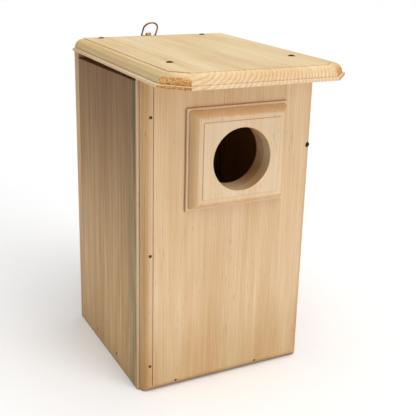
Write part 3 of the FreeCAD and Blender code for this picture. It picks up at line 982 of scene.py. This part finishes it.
class NESTBOX_OT_hanger(bpy.types.Operator):
    """D-shaped wire ring, the folded strap that holds it and the strap's two screws"""

    bl_idname = "nestbox.hanger"
    bl_label = "Hanger"

    def execute(self, context):
        sizes, metal = context.scene.nestbox_sizes, context.scene.nestbox_metal
        # thin brass plate on drawn wire and strip: warm, satin, and brown where it has tarnished
        brass = plated_brass("brass-plated steel, satin", metal.brass, metal.brass_dull)
        pivot = hinge_at("ring_swing")
        ring = self.ring(pivot, sizes.ring_wire / 2)
        hand_over(ring, "ring", "d_ring", brass)

        low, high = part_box("hanger_strap")
        strap = self.strap(low, high, pivot, sizes.strap_gauge)
        hand_over(strap, "box", "hanger_strap", brass)

        rings = [(0, 1.5), (0.15, 2.2), (0.6, 2.62), (1.45, 2.7), (1.5, 1.4), (13.9, 1.4)]
        screw = crossed(turned("screw", rings), 1.5, 0.93)
        spots = fixings("hanger_screws", 1, -1, spin=0.6)
        fitted("hanger_screws_brass", screw, spots, "hanger_screws", brass)
        return {"FINISHED"}

    def ring(self, pivot, wire):
        """Wire bent to a D: half the bar, a corner, a leg, the bow, and back again."""
        half, leg, corner = 10.4 * MM, 12.0 * MM, 2.4 * MM
        lean = math.radians(32)  # how far the ring hangs back from upright
        deselect()
        bpy.ops.mesh.primitive_circle_add(
            vertices=20, radius=wire, location=(0, 0, 0), rotation=(0, math.pi / 2, 0)
        )
        ring = added("d_ring_wire")
        open_up(ring)

        def bend(angle, centre, steps):
            bpy.ops.mesh.spin(steps=steps, angle=angle, center=centre, axis=(0, 1, 0))

        pull((half - corner, 0, 0))
        bend(math.pi / 2, (half - corner, 0, corner), 6)
        pull((0, 0, leg - corner))
        bend(math.pi, (0, 0, leg), 24)
        pull((0, 0, corner - leg))
        bend(math.pi / 2, (corner - half, 0, corner), 6)
        pull((half - corner, 0, 0))
        close_up()
        tidy(ring, 0.05)
        ring.rotation_euler = (lean, 0, 0)
        ring.location = pivot
        settle(ring)
        activate(ring)
        bpy.ops.object.shade_smooth()
        return ring

    def strap(self, low, high, pivot, gauge):
        """A thin strip run up the back, round the bar and down again, then thickened."""
        thin = 1.0 * MM  # room that the frame gives one thickness of the strip
        stub = 10 * MM  # the strip starts this long
        under = math.radians(32)  # how far it goes on under the bar
        fall = 2.6 * MM  # of the slant from there back to the first leaf
        radius = pivot.y - (low.y + thin / 2)
        deselect()
        bpy.ops.mesh.primitive_plane_add(
            size=1, location=((low.x + high.x) / 2, low.y + thin / 2, low.z + stub / 2),
            rotation=(math.pi / 2, 0, 0),
        )
        strap = bpy.context.active_object
        strap.scale = (high.x - low.x, stub, 1)
        added("hanger_strap_strip")
        pick_edges(strap, lambda a, b: min(a.z, b.z) > low.z + stub - 1 * MM)
        crown = Vector((pivot.x, pivot.y, high.z - radius - thin / 2))
        pull((0, 0, crown.z - (low.z + stub)))
        bpy.ops.mesh.spin(steps=12, angle=math.pi, center=crown, axis=(1, 0, 0))
        pull(pivot - crown)
        bpy.ops.mesh.spin(steps=3, angle=under, center=pivot, axis=(1, 0, 0))
        end = pivot.yz + Vector((math.cos(under), -math.sin(under))) * radius
        pull((0, low.y + 1.5 * thin - end[0], -fall))
        pull((0, 0, low.z - (end[1] - fall)))
        close_up()
        modify(strap, "gauge", "SOLIDIFY", thickness=gauge, offset=0.0)
        tidy(strap, 0.02)
        drill(strap, 1.45, 6, fixings("hanger_screws", 1, -1, high.y))
        ease(strap, 0.12 * MM, 2, 50)
        return strap


class NESTBOX_OT_turn_button(bpy.types.Operator):
    """Turn button that holds the pivoting side shut, and its screw"""

    bl_idname = "nestbox.turn_button"
    bl_label = "Turn button"

    def execute(self, context):
        metal, pivot = context.scene.nestbox_metal, hinge_at("button_turn")
        low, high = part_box("turn_button")
        strip = block("turn_button_strip", low, high)
        pick_edges(strip, lambda a, b: abs(a.y - b.y) < 1e-7 and abs(a.z - b.z) < 1e-7)
        # rounded ends, a hair short of half round, so that no face is left without width
        bevel((high.y - low.y) / 2 * 0.999, 12)
        tidy(strip)
        drill(strip, 1.95, 4, [(Vector((low.x, pivot.y, pivot.z)), (1, 0, 0), 0)], 32)
        ease(strip, 0.25 * MM, 2, 50)
        # zinc-plated strip: pale blue-grey and half dull, with chalky spots
        zinc = coated_steel("strip steel, zinc plated", metal.zinc, metal.zinc_dull, 0.34)
        hand_over(strip, "button", "turn_button", zinc)

        # dark zinc coat: black-brown with a soft sheen
        dark = coated_steel("screw steel, dark zinc coat", metal.screw, metal.screw_worn, 0.55)
        rings = [(0, 2.2), (0.2, 3.1), (0.7, 3.6), (1.55, 3.7), (1.6, 1.9), (21.9, 1.9)]
        screw = crossed(turned("screw", rings), 1.9, 1.2)
        spots = fixings("button_screw", 0, -1, spin=0.8)
        fitted("button_screw_coated", screw, spots, "button_screw", dark)
        return {"FINISHED"}


def soft_light(name, right, up, spread, strength, tint):
    """A large far lamp. right and up say where it stands, in degrees from straight ahead."""
    light = bpy.data.lights.new(name, "SUN")
    light.energy, light.angle = strength, math.radians(spread)
    light.color = tint[:3]
    lamp = bpy.data.objects.new(name, light)
    bpy.context.scene.collection.objects.link(lamp)
    right, up = math.radians(right), math.radians(up)
    level = math.cos(up)
    towards = Vector((math.sin(right) * level, -math.cos(right) * level, math.sin(up)))
    lamp.rotation_euler = towards.to_track_quat("Z", "Y").to_euler()


CAMERA_PLACE = (-0.4329, -0.8814, 0.5406)
# in degrees: turned to the right of straight ahead, tipped down, and rolled anticlockwise
HEADING, DOWN, ROLL = 27.66, 18.28, 1.57
LENS_SHIFT = -0.043  # small, because other views keep it
FLOOR_DROP = 0.2 * MM  # keeps the floor sheet clear of the box's foot


class NESTBOX_OT_stage(bpy.types.Operator):
    """Pale floor, soft light and the camera"""

    bl_idname = "nestbox.stage"
    bl_label = "Stage"

    def execute(self, context):
        props = context.scene.nestbox_stage
        deselect()
        bpy.ops.mesh.primitive_plane_add(size=props.floor_size, location=(0, 0, -FLOOR_DROP))
        floor = added("studio_floor")
        # uncoated paper roll: matt and even, with pulp clouds 17 mm across
        paper, tree, skin = blank("seamless paper, white")
        place = node(tree, "TexCoord").outputs["Object"]
        pulp = node(tree, "TexNoise", None,
                    {"Vector": place, "Scale": 1000 / 17, "Detail": 3.0}).outputs["Fac"]
        thin = node(tree, "MapRange", None,
                    {"Value": pulp, "To Min": 0.0, "To Max": 0.05}).outputs[0]
        sheet = node(tree, "Mix", BLEND, {0: thin, 6: props.paper, 7: srgb("#E8E8E6")}).outputs[2]
        wire(tree, skin, {"Base Color": sheet, "Roughness": 0.9, "Specular IOR Level": 0.1})
        floor.data.materials.append(paper)

        # the room is white to look at, but gives only a little light of its own
        world = bpy.data.worlds.new("studio")
        context.scene.world = world
        world.use_nodes = True
        tree = world.node_tree
        seen = node(tree, "LightPath").outputs["Is Camera Ray"]
        glow = node(tree, "Math", TIMES_PLUS,
                    {0: seen, 1: 1 - props.room, 2: props.room}).outputs[0]
        wire(tree, tree.nodes["Background"], {"Color": srgb("#FFFFFF"), "Strength": glow})

        soft_light("front softbox", 24, 20, 40, props.front_light, props.lamp)
        soft_light("overhead softbox", 10, 78, 70, props.top_light, props.lamp)
        view = context.scene.view_settings
        view.view_transform, view.look, view.exposure, view.gamma = "Standard", "None", 0.0, 1.0

        camera = bpy.data.cameras.new("camera")
        camera.lens, camera.sensor_width = props.lens, 36.0
        camera.shift_y = LENS_SHIFT
        camera.dof.use_dof = False
        holder = bpy.data.objects.new("camera", camera)
        context.scene.collection.objects.link(holder)
        heading, down, roll = (math.radians(v) for v in (HEADING, DOWN, ROLL))
        turn = Euler((math.pi / 2 - down, 0, -heading)).to_matrix() @ Matrix.Rotation(roll, 3, "Z")
        holder.matrix_world = Matrix.Translation(CAMERA_PLACE) @ turn.to_4x4()
        context.scene.camera = holder
        return {"FINISHED"}


STEPS = (
    NESTBOX_OT_stage,
    NESTBOX_OT_front_board,
    NESTBOX_OT_entrance_plate,
    NESTBOX_OT_roof,
    NESTBOX_OT_left_side,
    NESTBOX_OT_back_board,
    NESTBOX_OT_floor_board,
    NESTBOX_OT_door,
    NESTBOX_OT_nails,
    NESTBOX_OT_screws,
    NESTBOX_OT_hanger,
    NESTBOX_OT_turn_button,
)


class NESTBOX_PT_panel(bpy.types.Panel):
    """The steps in order, with their settings"""

    bl_idname = "NESTBOX_PT_panel"
    bl_label = "Nest Box"
    bl_space_type = "VIEW_3D"
    bl_region_type = "UI"
    bl_category = "Nest Box"

    def draw(self, context):
        layout = self.layout
        for group in GROUPS:
            layout.label(text=group.__doc__)
            for key in group.__annotations__:
                layout.prop(getattr(context.scene, GROUPS[group]), key)
        for step in STEPS:
            layout.operator(step.bl_idname)


GROUPS = {
    NestBoxSizes: "nestbox_sizes",
    NestBoxWood: "nestbox_wood",
    NestBoxMetal: "nestbox_metal",
    NestBoxStage: "nestbox_stage",
}
CLASSES = (*GROUPS, *STEPS, NESTBOX_PT_panel)


def register():
    for cls in CLASSES:
        bpy.utils.register_class(cls)
    for group, key in GROUPS.items():
        setattr(bpy.types.Scene, key, bpy.props.PointerProperty(type=group))


def unregister():
    for key in GROUPS.values():
        delattr(bpy.types.Scene, key)
    for cls in reversed(CLASSES):
        bpy.utils.unregister_class(cls)


def main():
    register()
    for step in STEPS:
        area, name = step.bl_idname.split(".")
        getattr(getattr(bpy.ops, area), name)()


if __name__ == "__main__":
    main()
